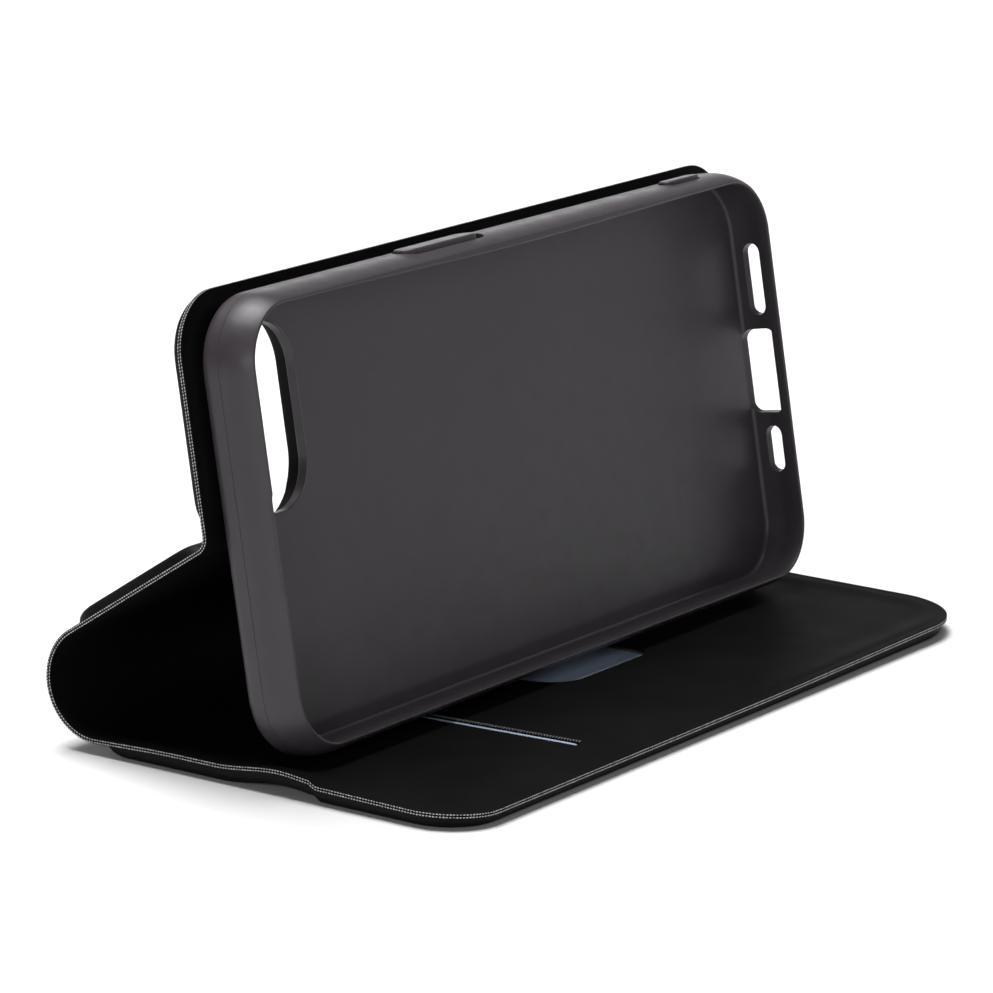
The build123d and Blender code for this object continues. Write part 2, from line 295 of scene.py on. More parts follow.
def add_piece(name, points, faces, uv, materials, face_slots=None, sharp=35):
    """Add a mesh object with a UV map, smooth faces and sharp edges past an angle."""
    mesh = bpy.data.meshes.new(name)
    mesh.from_pydata(points.reshape(-1, 3).tolist(), [], faces.tolist())
    for material in materials:
        mesh.materials.append(material)
    layer = mesh.uv_layers.new(name="surface")
    layer.data.foreach_set("uv", np.asarray(uv, np.float32).ravel())
    if face_slots is not None:
        mesh.polygons.foreach_set("material_index", np.asarray(face_slots, np.int32))
    mesh.shade_smooth()
    mesh.set_sharp_from_angle(angle=radians(sharp))
    mesh.validate()
    piece = bpy.data.objects.new(name, mesh)
    bpy.context.scene.collection.objects.link(piece)
    return piece


def grid_faces(rows, columns):
    """Return the quads of a grid of points, rows by columns, turning from across to along."""
    corner = np.arange(rows - 1)[:, None] * columns + np.arange(columns - 1)
    return np.stack([corner, corner + 1, corner + columns + 1, corner + columns], -1).reshape(-1, 4)


def sheet_piece(name, start, end, upper, lower, materials):
    """Add a closed sheet along the seam between two runs.

    Its two faces are grids over the width and the run, each at its own offset from the
    seam. A ring of quads round the rim closes them, in the second material where it is a
    cut edge.
    """
    bend = 1 - np.cos(np.linspace(0, pi / 2, 26))
    corners = np.concatenate([cover_corner * bend, cover_wide_corner * bend])
    runs = spaced(start, end, list(folds) + [start, end], 0.12 * MM, 1.3 * MM, 0.22)
    runs = np.concatenate([runs, corners, cover_run - corners])
    runs = np.unique(np.round(runs[(runs >= start) & (runs <= end)], 7))
    runs = runs[np.append(True, np.diff(runs) > 0.02 * MM)]
    runs[-1] = end
    inward = spaced(0, half_length, [0], 0.035 * MM, 1.6 * MM, 0.22)
    across = np.concatenate([-1 + inward / half_length, 1 - inward[-2::-1] / half_length])
    run = np.repeat(runs[:, None], len(across), axis=1)
    x = across[None, :] * half_width(across[None, :], run)
    shape = run.shape
    top = seam_place(x, run, upper(x, run))
    bottom = seam_place(x, run, lower(x, run))
    points = np.concatenate([top.reshape(-1, 3), bottom.reshape(-1, 3)])
    flat_uv = np.stack([x, run], -1).reshape(-1, 2)
    quads = grid_faces(*shape)
    under = quads[:, ::-1] + run.size
    index = np.arange(run.size).reshape(shape)
    ring = np.concatenate([index[0], index[1:, -1], index[-1, -2::-1], index[-2:0:-1, 0]])
    ahead = np.roll(ring, -1)
    rim = np.stack([ring + run.size, ahead + run.size, ahead, ring], -1)
    steps = np.linalg.norm(points[ahead] - points[ring], axis=1)
    walked = np.append(0, np.cumsum(steps))
    thick = np.linalg.norm(points[ring] - points[ring + run.size], axis=1)
    rim_uv = np.stack(
        [
            np.stack([walked[:-1], 0 * thick], -1),
            np.stack([walked[1:], 0 * thick], -1),
            np.stack([walked[1:], np.roll(thick, -1)], -1),
            np.stack([walked[:-1], thick], -1),
        ],
        axis=1,
    )
    uv = np.concatenate(
        [flat_uv[quads].reshape(-1, 2), flat_uv[quads[:, ::-1]].reshape(-1, 2), rim_uv.reshape(-1, 2)]
    )
    at_joint = (run.ravel()[ring] == start) & (start > 0)
    at_joint |= (run.ravel()[ring] == end) & (end < cover_run)
    cut = 1 - (at_joint & np.roll(at_joint, -1)).astype(int)
    slots = np.concatenate([np.zeros(2 * len(quads), int), cut * (len(materials) > 1)])
    return add_piece(name, points, np.concatenate([quads, under, rim]), uv, materials, slots)


# Shared effects of the coated fabrics: a fine pressed grain, and the slow unevenness of a
# hand-worked surface.
def new_group(name, inputs, outputs):
    """Return an empty shader group with float or vector inputs and float outputs."""
    group = bpy.data.node_groups.new(name, "ShaderNodeTree")
    for label, kind, value in inputs:
        socket = group.interface.new_socket(label, in_out="INPUT", socket_type=kind)
        if kind == "NodeSocketFloat":
            socket.default_value = value
    for label in outputs:
        group.interface.new_socket(label, in_out="OUTPUT", socket_type="NodeSocketFloat")
    entry = group.nodes.new("NodeGroupInput")
    leave = group.nodes.new("NodeGroupOutput")
    return group, entry, leave


def wire(tree, source, target):
    """Link an output socket to an input socket."""
    tree.links.new(source, target)


grain, grain_in, grain_out = new_group(
    "pressed_grain",
    [("Vector", "NodeSocketVector", None), ("Pitch", "NodeSocketFloat", 2500.0)],
    ["Height", "Pits"],
)
cells = grain.nodes.new("ShaderNodeTexVoronoi")
cells.feature = "SMOOTH_F1"
cells.inputs["Smoothness"].default_value = 0.6
wire(grain, grain_in.outputs["Vector"], cells.inputs["Vector"])
wire(grain, grain_in.outputs["Pitch"], cells.inputs["Scale"])
fibres = grain.nodes.new("ShaderNodeTexNoise")
fibres.inputs["Detail"].default_value = 4
wire(grain, grain_in.outputs["Vector"], fibres.inputs["Vector"])
wire(grain, grain_in.outputs["Pitch"], fibres.inputs["Scale"])
grain_sum = grain.nodes.new("ShaderNodeMath")
grain_sum.operation = "ADD"
wire(grain, cells.outputs["Distance"], grain_sum.inputs[0])
wire(grain, fibres.outputs["Fac"], grain_sum.inputs[1])
wire(grain, grain_sum.outputs[0], grain_out.inputs["Height"])
wire(grain, cells.outputs["Distance"], grain_out.inputs["Pits"])

mottle, mottle_in, mottle_out = new_group(
    "slow_mottle",
    [
        ("Vector", "NodeSocketVector", None),
        ("Pitch", "NodeSocketFloat", 60.0),
        ("Lowest", "NodeSocketFloat", 0.4),
        ("Highest", "NodeSocketFloat", 0.6),
    ],
    ["Value"],
)
clouds = mottle.nodes.new("ShaderNodeTexNoise")
clouds.inputs["Detail"].default_value = 5
clouds.inputs["Roughness"].default_value = 0.6
wire(mottle, mottle_in.outputs["Vector"], clouds.inputs["Vector"])
wire(mottle, mottle_in.outputs["Pitch"], clouds.inputs["Scale"])
cloud_range = mottle.nodes.new("ShaderNodeMapRange")
cloud_range.inputs["From Min"].default_value = 0.3
cloud_range.inputs["From Max"].default_value = 0.7
wire(mottle, clouds.outputs["Fac"], cloud_range.inputs["Value"])
wire(mottle, mottle_in.outputs["Lowest"], cloud_range.inputs["To Min"])
wire(mottle, mottle_in.outputs["Highest"], cloud_range.inputs["To Max"])
wire(mottle, cloud_range.outputs["Result"], mottle_out.inputs["Value"])


def place_group(material, group, vector, **values):
    """Put a group in a material, fed with a vector, with its own plain values."""
    tree = material.node_tree
    node = tree.nodes.new("ShaderNodeGroup")
    node.node_tree = group
    wire(tree, vector, node.inputs["Vector"])
    for socket, value in values.items():
        node.inputs[socket].default_value = value
    return node


def surface_coordinates(material, kind="UV"):
    """Return a material's coordinates: the piece's own UV map, or its object's place."""
    return material.node_tree.nodes.new("ShaderNodeTexCoord").outputs[kind]


def add_bump(material, shader, height, strength, distance):
    """Feed a height through a Bump node into a shader's normal."""
    bump = material.node_tree.nodes.new("ShaderNodeBump")
    bump.inputs["Strength"].default_value = strength
    bump.inputs["Distance"].default_value = distance
    wire(material.node_tree, height, bump.inputs["Height"])
    wire(material.node_tree, bump.outputs["Normal"], shader.inputs["Normal"])


def tint(material, shader, factor, dark, light):
    """Mix two colours by a factor into a shader's base colour."""
    mix = material.node_tree.nodes.new("ShaderNodeMix")
    mix.data_type = "RGBA"
    mix.inputs["A"].default_value = (*dark, 1)
    mix.inputs["B"].default_value = (*light, 1)
    wire(material.node_tree, factor, mix.inputs["Factor"])
    wire(material.node_tree, mix.outputs["Result"], shader.inputs["Base Color"])


def coated_fabric(name, dark, light, pitch, rough_low, rough_high, strength, shine):
    """Return a coated fabric's material: grain in its bump, mottle in colour and gloss."""
    material, shader = plain_material(name, dark, rough_low, Specular_IOR_Level=shine)
    place = surface_coordinates(material)
    pressed = place_group(material, grain, place, Pitch=pitch)
    tone = place_group(material, mottle, place, Pitch=45.0, Lowest=0.0, Highest=1.0)
    gloss = place_group(material, mottle, place, Pitch=90.0, Lowest=rough_low, Highest=rough_high)
    tint(material, shader, tone.outputs["Value"], dark, light)
    wire(material.node_tree, gloss.outputs["Value"], shader.inputs["Roughness"])
    add_bump(material, shader, pressed.outputs["Height"], strength, 0.05 * MM)
    return material


# Outer skin. One sheet of black coated fabric wraps the boards from below: thin where it
# meets the lining at the edge and at the folds, and swelling over each board.
skin_material = coated_fabric("black_skin", (0.003,) * 3, (0.006,) * 3, 1800.0, 0.5, 0.62, 0.25, 0.1)
edge_material, edge_shader = plain_material("cut_edge", (0.1, 0.1, 0.1), 0.7)
edge_place = surface_coordinates(edge_material)
edge_split = edge_material.node_tree.nodes.new("ShaderNodeSeparateXYZ")
wire(edge_material.node_tree, edge_place, edge_split.inputs["Vector"])
edge_wave = edge_material.node_tree.nodes.new("ShaderNodeMath")
edge_wave.operation = "SINE"
edge_pitch = edge_material.node_tree.nodes.new("ShaderNodeMath")
edge_pitch.operation = "MULTIPLY"
edge_pitch.inputs[1].default_value = 2 * pi / (0.55 * MM)
wire(edge_material.node_tree, edge_split.outputs["X"], edge_pitch.inputs[0])
wire(edge_material.node_tree, edge_pitch.outputs[0], edge_wave.inputs[0])
edge_range = edge_material.node_tree.nodes.new("ShaderNodeMapRange")
edge_wear = place_group(edge_material, mottle, edge_place, Pitch=900.0, Lowest=-0.9, Highest=0.9)
edge_sum = edge_material.node_tree.nodes.new("ShaderNodeMath")
edge_sum.operation = "ADD"
wire(edge_material.node_tree, edge_wave.outputs[0], edge_sum.inputs[0])
wire(edge_material.node_tree, edge_wear.outputs["Value"], edge_sum.inputs[1])
edge_range.inputs["From Min"].default_value = -0.7
edge_range.inputs["From Max"].default_value = 0.9
wire(edge_material.node_tree, edge_sum.outputs[0], edge_range.inputs["Value"])
tint(edge_material, edge_shader, edge_range.outputs["Result"], (0.02,) * 3, (0.6,) * 3)
add_bump(edge_material, edge_shader, edge_range.outputs["Result"], 0.6, 0.1 * MM)

edge_top = 0.25 * MM
edge_bottom = -0.62 * MM
skin_gauge = 0.42 * MM
board_swell = 1.78 * MM
cut_round = 0.12 * MM


def rounded_cut(x, run, radius):
    """Return how far a sheet's face falls at its cut edge, as a quarter circle."""
    inside = np.clip(free_edge_depth(x, run) / radius, 0, 1)
    return radius * (1 - np.sqrt(np.maximum(1 - (1 - inside) ** 2, 0)))


def skin_outer(x, run):
    """Return the skin's outer face: flat at the edge, and round over the board's edge."""
    t = np.clip((plate_depth(x, run) - 0.45 * MM) / (1.6 * MM), 0, 1)
    swell = board_swell * np.sqrt(1 - (1 - t) ** 2)
    lift = channel_lift(x, run)
    notch = 1 - 0.15 * lift / channel_rise
    curl = edge_curl(x, run) * (1 - t)
    return edge_bottom - swell * notch + rounded_cut(x, run, cut_round) + lift + curl


def skin_inner(x, run):
    """Return the skin's inner face, one thickness above its outer face."""
    return skin_outer(x, run) + skin_gauge - 2 * rounded_cut(x, run, cut_round)


spine_split = (folds[1] + folds[2]) / 2
flap_split = (folds[2] + folds[3]) / 2
spans = {
    "front": (0, spine_split, "front_cover", "spine", folds[1], spine_split),
    "spine": (spine_split, flap_split, "spine", "flap", spine_split, folds[2]),
    "upper": (flap_split, cover_run, "flap", "phone_panel", folds[3], folds[4]),
}
stands_for = {
    "front": {"skin": ["front_outer_skin"], "lining": ["front_lining"]},
    "spine": {
        "skin": ["spine_outer_skin", "flap_outer_skin"],
        "lining": ["spine_lining", "flap_lining"],
    },
    "upper": {
        "skin": ["crease_skin", "panel_outer_skin"],
        "lining": ["crease_lining", "panel_lining"],
    },
}


def hang_on_joint(piece, span):
    """Bake a sheet's placement into its mesh; it stays where it stands."""
    start, end, first, second, bend_start, bend_end = spans[span]
    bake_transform(piece)


camera_hole = (-74.8 * MM, -57.2 * MM, 39.9 * MM, 71.2 * MM, 8.3 * MM)


def rounded_loop(left, right, low, high, radius, count=25, left_radius=None):
    """Return a rounded rectangle's points, anticlockwise: four quarter circles in turn."""
    turn = np.linspace(0, pi / 2, count)
    other = radius if left_radius is None else left_radius
    corners = [
        (right - radius, low + radius, radius, -pi / 2),
        (right - radius, high - radius, radius, 0),
        (left + other, high - other, other, pi / 2),
        (left + other, low + other, other, pi),
    ]
    arcs = [
        np.stack([x + r * np.cos(turn + start), y + r * np.sin(turn + start)], -1)
        for x, y, r, start in corners
    ]
    return np.concatenate(arcs)


def along_direction(node, direction):
    """Return how far a CAD node reaches along a direction, lowest and highest."""
    mesh = frame["nodes"][node].data
    places = np.zeros(3 * len(mesh.vertices))
    mesh.vertices.foreach_get("co", places)
    reach = places.reshape(-1, 3) @ np.array(direction)
    return reach.min(), reach.max()


press = next(j for j in frame["joints"] if j["name"] == "volume_key_press")
tray_up = Vector(press["axis"])
tray_out = Vector((0, -tray_up.z, tray_up.y))
tray_low, tray_high = along_direction("phone_shell", tray_up)
tray_back, tray_front = along_direction("phone_shell", tray_out)
tray_depth = tray_front - tray_back
tray_width = tray_high - tray_low
shell_low, shell_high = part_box("phone_shell")
tray_half = (shell_high.x - shell_low.x) / 2


def tray_place(x, height, depth):
    """Return points in the tray's own length, height, and depth in front of its rim."""
    up = height + tray_low
    out = depth + tray_front
    y = up * tray_up.y + out * tray_out.y
    z = up * tray_up.z + out * tray_out.z
    return np.stack(np.broadcast_arrays(x, y, z), axis=-1)


def prism(name, loops):
    """Return a closed cutter from loops of points, each joined to the next and capped."""
    count = len(loops[0])
    points = np.concatenate(loops)
    here = np.arange(count)
    ahead = np.roll(here, -1)
    faces = []
    for k in range(len(loops) - 1):
        base = k * count
        faces += np.stack(
            [base + here, base + ahead, base + count + ahead, base + count + here], -1
        ).tolist()
    faces.append(here[::-1].tolist())
    faces.append((here + (len(loops) - 1) * count).tolist())
    mesh = bpy.data.meshes.new(name)
    mesh.from_pydata(points.tolist(), [], faces)
    cutter = bpy.data.objects.new(name, mesh)
    bpy.context.scene.collection.objects.link(cutter)
    return cutter


def cut_with(piece, cutters, sharp=35):
    """Cut closed shapes out of a piece, and keep its smooth faces and sharp edges."""
    for cutter in cutters:
        tool = piece.modifiers.new(cutter.name, "BOOLEAN")
        tool.operation = "DIFFERENCE"
        tool.solver = "EXACT"
        tool.object = cutter
    graph = bpy.context.evaluated_depsgraph_get()
    mesh = bpy.data.meshes.new_from_object(piece.evaluated_get(graph))
    piece.modifiers.clear()
    piece.data = mesh
    mesh.shade_smooth()
    mesh.set_sharp_from_angle(angle=radians(sharp))
    for cutter in cutters:
        bpy.data.objects.remove(cutter)


def camera_cutter(grow):
    """Return a cutter through the upper panel, as the camera hole grown by an amount."""
    left, right, low, high, radius = camera_hole
    loop = rounded_loop(left - grow, right + grow, low - camera_drop, high + grow, radius + grow)
    depths = (-tray_depth - 5 * MM, -tray_depth + 0.2 * MM)
    return prism("camera_cutter", [tray_place(loop[:, 0], loop[:, 1], d) for d in depths])


camera_step = 2.4 * MM
camera_drop = 2.0 * MM
for span in spans:
    start, end = spans[span][:2]
    skin = sheet_piece(
        f"{span}_skin", start, end, skin_inner, skin_outer, [skin_material, edge_material]
    )
    if span == "upper":
        cut_with(skin, [camera_cutter(camera_step)])
    hang_on_joint(skin, span)
    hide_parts(*stands_for[span]["skin"])

# Spine tape. A strip of woven tape is glued between the sheets behind the spine, to keep
# the fold from stretching.
def grained_material(name, colour, roughness, pitch, dark, light, bump, kind="Object"):
    """Return a rough material whose grain is in its colour and its bump: strength, distance."""
    material, shader = plain_material(name, colour, roughness)
    pits = place_group(material, grain, surface_coordinates(material, kind), Pitch=pitch)
    tint(material, shader, pits.outputs["Pits"], dark, light)
    add_bump(material, shader, pits.outputs["Height"], *bump)
    return material


tape_material = grained_material(
    "woven_tape", (0.02,) * 3, 0.85, 3000.0, (0.01,) * 3, (0.035,) * 3, (0.5, 0.1 * MM), "UV"
)
tape_top = -0.52 * MM
tape_bottom = -0.60 * MM
tape_inset = 1.0 * MM
tape_halves = {"lower": (folds[1], spine_split, "front"), "upper": (spine_split, folds[2], "spine")}


def tape_piece(name, start, end):
    """Add a plain closed strip along the seam, thin, and a little narrower than the cover."""
    runs = np.linspace(start, end, 25)
    width = half_length - tape_inset
    run, x = np.meshgrid(runs, np.linspace(-width, width, 60), indexing="ij")
    top = seam_place(x, run, np.full_like(x, tape_top))
    bottom = seam_place(x, run, np.full_like(x, tape_bottom))
    points = np.concatenate([top.reshape(-1, 3), bottom.reshape(-1, 3)])
    quads = grid_faces(*run.shape)
    index = np.arange(run.size).reshape(run.shape)
    ring = np.concatenate([index[0], index[1:, -1], index[-1, -2::-1], index[-2:0:-1, 0]])
    ahead = np.roll(ring, -1)
    rim = np.stack([ring + run.size, ahead + run.size, ahead, ring], -1)
    faces = np.concatenate([quads, quads[:, ::-1] + run.size, rim])
    flat = np.stack([x, run], -1).reshape(-1, 2)
    flat = np.concatenate([flat, flat])
    return add_piece(name, points, faces, flat[faces].reshape(-1, 2), [tape_material])


for half, (start, end, span) in tape_halves.items():
    tape = tape_piece(f"spine_tape_{half}", start, end)
    hang_on_joint(tape, span)
    if half == "lower":
        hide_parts("spine_tape")

# Boards, magnets, foam and glue. They are sealed between the sheets: grey board for
# stiffness, flat nickelled magnets for the closure, foam under the lining, and a pad of
# glue that holds the tray.
def worn_material(name, colour, roughness, pitch, lowest, highest, **values):
    """Return a plain material whose roughness wanders slowly between two values."""
    material, shader = plain_material(name, colour, roughness, **values)
    place = surface_coordinates(material, "Object")
    marks = place_group(material, mottle, place, Pitch=pitch, Lowest=lowest, Highest=highest)
    wire(material.node_tree, marks.outputs["Value"], shader.inputs["Roughness"])
    return material


board_material = grained_material(
    "grey_board", (0.25, 0.24, 0.22), 0.9, 1200.0, (0.2, 0.19, 0.17), (0.32, 0.3, 0.27), (0.4, 0.1 * MM)
)
magnet_material = worn_material(
    "nickelled_magnet", (0.6, 0.58, 0.55), 0.3, 400.0, 0.22, 0.4, Metallic=1
)
foam_material = grained_material(
    "thin_foam", (0.03,) * 3, 0.95, 2200.0, (0.015,) * 3, (0.045,) * 3, (0.7, 0.1 * MM)
)
glue_material = worn_material("glue_pad", (0.2, 0.2, 0.19), 0.4, 150.0, 0.3, 0.5)
inner_materials = {
    "front_board": board_material,
    "flap_board": board_material,
    "panel_board": board_material,
    "closure_magnets": magnet_material,
    "keeper_magnets": magnet_material,
    "front_foam": foam_material,
    "tray_adhesive": glue_material,
}
for node, material in inner_materials.items():
    data = frame["nodes"][node].data
    data.materials.clear()
    data.materials.append(material)

# Pocket fabric. A blue-grey twill lies between board and foam, as the card pocket's back.
# It shows through the thumb window, and its turned-up mouth shows in the card slot.
twill_material, twill_shader = plain_material("blue_twill", (0.1, 0.15, 0.22), 0.75)
twill_place = surface_coordinates(twill_material)
twill_turn = twill_material.node_tree.nodes.new("ShaderNodeMapping")
twill_turn.inputs["Rotation"].default_value = (0, 0, radians(32))
wire(twill_material.node_tree, twill_place, twill_turn.inputs["Vector"])
twill_wave = twill_material.node_tree.nodes.new("ShaderNodeTexWave")
twill_wave.inputs["Scale"].default_value = 1 / (2 * pi * 0.11 * MM)
twill_wave.inputs["Distortion"].default_value = 1.2
twill_wave.inputs["Detail"].default_value = 2
twill_wave.inputs["Detail Scale"].default_value = 3
wire(twill_material.node_tree, twill_turn.outputs["Vector"], twill_wave.inputs["Vector"])
tint(twill_material, twill_shader, twill_wave.outputs["Fac"], (0.24, 0.32, 0.46), (0.55, 0.68, 0.88))
add_bump(twill_material, twill_shader, twill_wave.outputs["Fac"], 0.6, 0.1 * MM)

pocket_low, pocket_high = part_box("pocket_lining")
pocket_inset = half_length - pocket_high.x + 1 * MM
pocket_left = -66 * MM
pocket_share, pocket_y = np.meshgrid(
    np.linspace(0, 1, 110), np.linspace(pocket_low.y + 1 * MM, pocket_high.y - 1 * MM, 60)
)
pocket_right = half_width(np.ones_like(pocket_y), pocket_y - pocket_low.y) - pocket_inset
pocket_x = pocket_left + (pocket_right - pocket_left) * pocket_share
pocket_z = np.full_like(pocket_x, pocket_high.z)
pocket_z += 0.12 * MM * np.sin(pocket_x / (9 * MM)) * np.sin(pocket_y / (7 * MM))
pocket_points = np.stack([pocket_x, pocket_y, pocket_z], -1)
pocket_faces = grid_faces(*pocket_x.shape)
pocket_uv = np.stack([pocket_x, pocket_y], -1).reshape(-1, 2)[pocket_faces]
pocket_fabric = add_piece(
    "pocket_fabric", pocket_points, pocket_faces, pocket_uv.reshape(-1, 2), [twill_material]
)
pocket_gauge = pocket_fabric.modifiers.new("gauge", "SOLIDIFY")
pocket_gauge.thickness = 0.2 * MM
pocket_gauge.offset = -1
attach(pocket_fabric, "front_cover")
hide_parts("pocket_lining")

# Lining. A smooth black sheet covers the inside from edge to edge. It is pressed down along
# the cut edge, and rises as a soft pillow over the foam and the boards.
lining_material = coated_fabric(
    "black_lining", (0.004,) * 3, (0.007,) * 3, 2600.0, 0.6, 0.7, 0.12, 0.03
)
lining_sheet = 0.42 * MM
pillow_rise = 0.37 * MM
pillow_reach = 2.0 * MM


def lining_face(x, run):
    """Return the lining's face: low at the edge, rising quickly at first, then slowly."""
    depth = np.maximum(plate_depth(x, run) - 1.5 * MM, 0)
    rise = pillow_rise * (1 - np.exp(-depth / pillow_reach))
    lift = channel_lift(x, run) + edge_curl(x, run)
    return edge_top + rise - rounded_cut(x, run, cut_round) + lift


def lining_back(x, run):
    """Return the lining's back, one thickness below its face."""
    return lining_face(x, run) - lining_sheet + 2 * rounded_cut(x, run, cut_round)


slot_centre = (-37.6 * MM, -4.3 * MM)
slot_size = (1.3 * MM, 57.0 * MM)
slot_turn = radians(4.8)
window_box = (-8.5 * MM, 21.0 * MM, -11.0 * MM, 6.0 * MM)
window_round = 8.0 * MM
window_tight_round = 3.0 * MM


def turned(points, centre, turn):
    """Return flat points turned about a centre: each one's two parts, mixed by the angle."""
    x = points[:, 0] * cos(turn) - points[:, 1] * sin(turn)
    y = points[:, 0] * sin(turn) + points[:, 1] * cos(turn)
    return np.stack([x + centre[0], y + centre[1]], -1)


def flat_cutter(name, loop):
    """Return an upright cutter through the front cover's lining, from a flat loop."""
    heights = (lining_low.z - 1 * MM, lining_high.z + 1 * MM)
    return prism(name, [np.column_stack([loop, np.full(len(loop), h)]) for h in heights])


for span in spans:
    start, end = spans[span][:2]
    lining = sheet_piece(
        f"{span}_inner_lining", start, end, lining_face, lining_back, [lining_material, edge_material]
    )
    if span == "front":
        half_wide, half_long = slot_size[0] / 2, slot_size[1] / 2
        slot_loop = rounded_loop(-half_wide, half_wide, -half_long, half_long, half_wide * 0.9, 6)
        window_loop = rounded_loop(*window_box, window_tight_round, 16, window_round)
        cutters = [
            flat_cutter("slot_cutter", turned(slot_loop, slot_centre, slot_turn)),
            flat_cutter("window_cutter", window_loop),
        ]
        cut_with(lining, cutters)
    if span == "upper":
        cut_with(lining, [camera_cutter(camera_step)])
    hang_on_joint(lining, span)
    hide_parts(*stands_for[span]["lining"])

# Pocket mouth. The pocket fabric's edge is turned up into the card slot as a narrow roll.
def tube_faces(rings, sides, closed=False):
    """Return a tube's quads, from its points in rings, each ring closed on itself.

    The last ring joins the first where the tube itself is closed.
    """
    here = np.arange(rings * sides).reshape(rings, sides)
    ahead = np.roll(here, -1, axis=0)
    if not closed:
        here, ahead = here[:-1], ahead[:-1]
    quads = [here, ahead, np.roll(ahead, -1, axis=1), np.roll(here, -1, axis=1)]
    return np.stack(quads, -1).reshape(-1, 4)


mouth_count = 80
mouth_sides = 16
mouth_half = (0.42 * MM, 0.3 * MM)
mouth_along = np.linspace(-slot_size[1] / 2, slot_size[1] / 2, mouth_count)
mouth_turn = np.linspace(0, 2 * pi, mouth_sides + 1)[:-1]
mouth_a, mouth_t = np.meshgrid(mouth_along, mouth_turn, indexing="ij")
mouth_end = np.sqrt(np.maximum(1 - (mouth_a / (slot_size[1] / 2)) ** 40, 0.02))
mouth_flat = turned(
    np.stack([(mouth_half[0] * np.cos(mouth_t) * mouth_end).ravel(), mouth_a.ravel()], -1),
    slot_centre,
    slot_turn,
)
mouth_z = lining_high.z - 0.42 * MM + (mouth_half[1] * np.sin(mouth_t) * mouth_end).ravel()
mouth_points = np.column_stack([mouth_flat, mouth_z])
mouth_faces = tube_faces(mouth_count, mouth_sides)
mouth_uv = np.stack([mouth_t * 0.4 * MM, mouth_a], -1).reshape(-1, 2)[mouth_faces]
pocket_mouth = add_piece(
    "pocket_mouth", mouth_points, mouth_faces, mouth_uv.reshape(-1, 2), [twill_material]
)
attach(pocket_mouth, "front_cover")

# Slot stitching. A close row of short stitches in waxed black thread binds the slot's edge
# along one side.
# The thread's colour runs from near black up to a light grey in its grain cells. The lighter specks are
# partly the thread's grain and partly painted glints.
thread_painted_glint_material = grained_material(
    "waxed_thread_painted_glints", (0.02,) * 3, 0.35, 6000.0, (0.01,) * 3, (0.16,) * 3, (0.4, 0.05 * MM)
)
stitch_pitch = 0.55 * MM
stitch_count = int(slot_size[1] / stitch_pitch)
stitch_at = (np.arange(stitch_count) - (stitch_count - 1) / 2) * stitch_pitch
bead_rings, bead_sides = 7, 8
bead_turn = np.linspace(0, 2 * pi, bead_sides + 1)[:-1]
bead_along = np.linspace(-1, 1, bead_rings)
bead_a, bead_t = np.meshgrid(bead_along, bead_turn, indexing="ij")
bead_fat = np.sqrt(1 - 0.98 * bead_a**2)
bead = np.stack(
    [0.42 * MM * bead_a, 0.2 * MM * bead_fat * np.cos(bead_t), 0.2 * MM * bead_fat * np.sin(bead_t)],
    -1,
).reshape(-1, 3)
bead_side = (slot_size[0] / 2 + 0.42 * MM, lining_high.z + 0.02 * MM)
bead_places = np.column_stack(
    [np.full(stitch_count, bead_side[0]), stitch_at, np.full(stitch_count, bead_side[1])]
)
stitch_points = bead[None] + bead_places[:, None]
flat = turned(stitch_points[..., :2].reshape(-1, 2), slot_centre, slot_turn)
stitch_points = np.column_stack([flat, stitch_points[..., 2].ravel()])
bead_quads = tube_faces(bead_rings, bead_sides)[:, [0, 3, 2, 1]]
bead_starts = np.arange(stitch_count) * bead_rings * bead_sides
stitch_faces = (bead_quads[None] + bead_starts[:, None, None]).reshape(-1, 4)
stitch_uv = stitch_points[stitch_faces][..., :2].reshape(-1, 2)
slot_stitches = add_piece(
    "slot_stitches", stitch_points, stitch_faces, stitch_uv, [thread_painted_glint_material], sharp=80
)
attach(slot_stitches, "front_cover")
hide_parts("slot_stitching")

# Camera hole binding. The outer skin is turned in through the panel's camera hole and rolled
# up to the tray's back, so that neither board nor daylight shows.
binding_left, binding_right, binding_low, binding_high, binding_round = camera_hole
binding_loop = rounded_loop(
    binding_left - camera_step,
    binding_right + camera_step,
    binding_low - camera_drop,
    binding_high + camera_step,
    binding_round + camera_step,
)
binding_ahead = np.roll(binding_loop, -1, axis=0) - np.roll(binding_loop, 1, axis=0)
binding_out = np.stack([binding_ahead[:, 1], -binding_ahead[:, 0]], -1)
binding_out /= np.linalg.norm(binding_out, axis=1, keepdims=True)
binding_turn = np.linspace(0, 2 * pi, 33)[:-1]
binding_top = 1.35 * MM
binding_bottom = edge_bottom - board_swell + 0.05 * MM
binding_middle = (binding_top + binding_bottom) / 2
binding_half = (binding_top - binding_bottom) / 2
binding_grow = 0.25 * MM + 0.35 * MM * np.sign(np.cos(binding_turn)) * np.abs(
    np.cos(binding_turn)
) ** 0.5
binding_rise = binding_half * np.sign(np.sin(binding_turn)) * np.abs(np.sin(binding_turn)) ** 0.5
tray_stand_off = 1.4 * MM
seam_depth = -tray_depth - tray_stand_off + binding_middle
binding_flat = binding_loop[:, None] + binding_out[:, None] * binding_grow[None, :, None]
binding_points = tray_place(
    binding_flat[..., 0], binding_flat[..., 1], seam_depth + binding_rise[None, :]
)
rings, sides = binding_points.shape[:2]
binding_faces = tube_faces(rings, sides, closed=True)
binding_uv = np.stack(
    np.broadcast_arrays(
        np.arange(rings)[:, None] * 0.9 * MM, np.arange(sides)[None, :] * 0.2 * MM
    ),
    -1,
).reshape(-1, 2)[binding_faces]
hole_binding = add_piece(
    "camera_hole_binding", binding_points, binding_faces, binding_uv.reshape(-1, 2), [skin_material]
)
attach(hole_binding, "phone_panel")

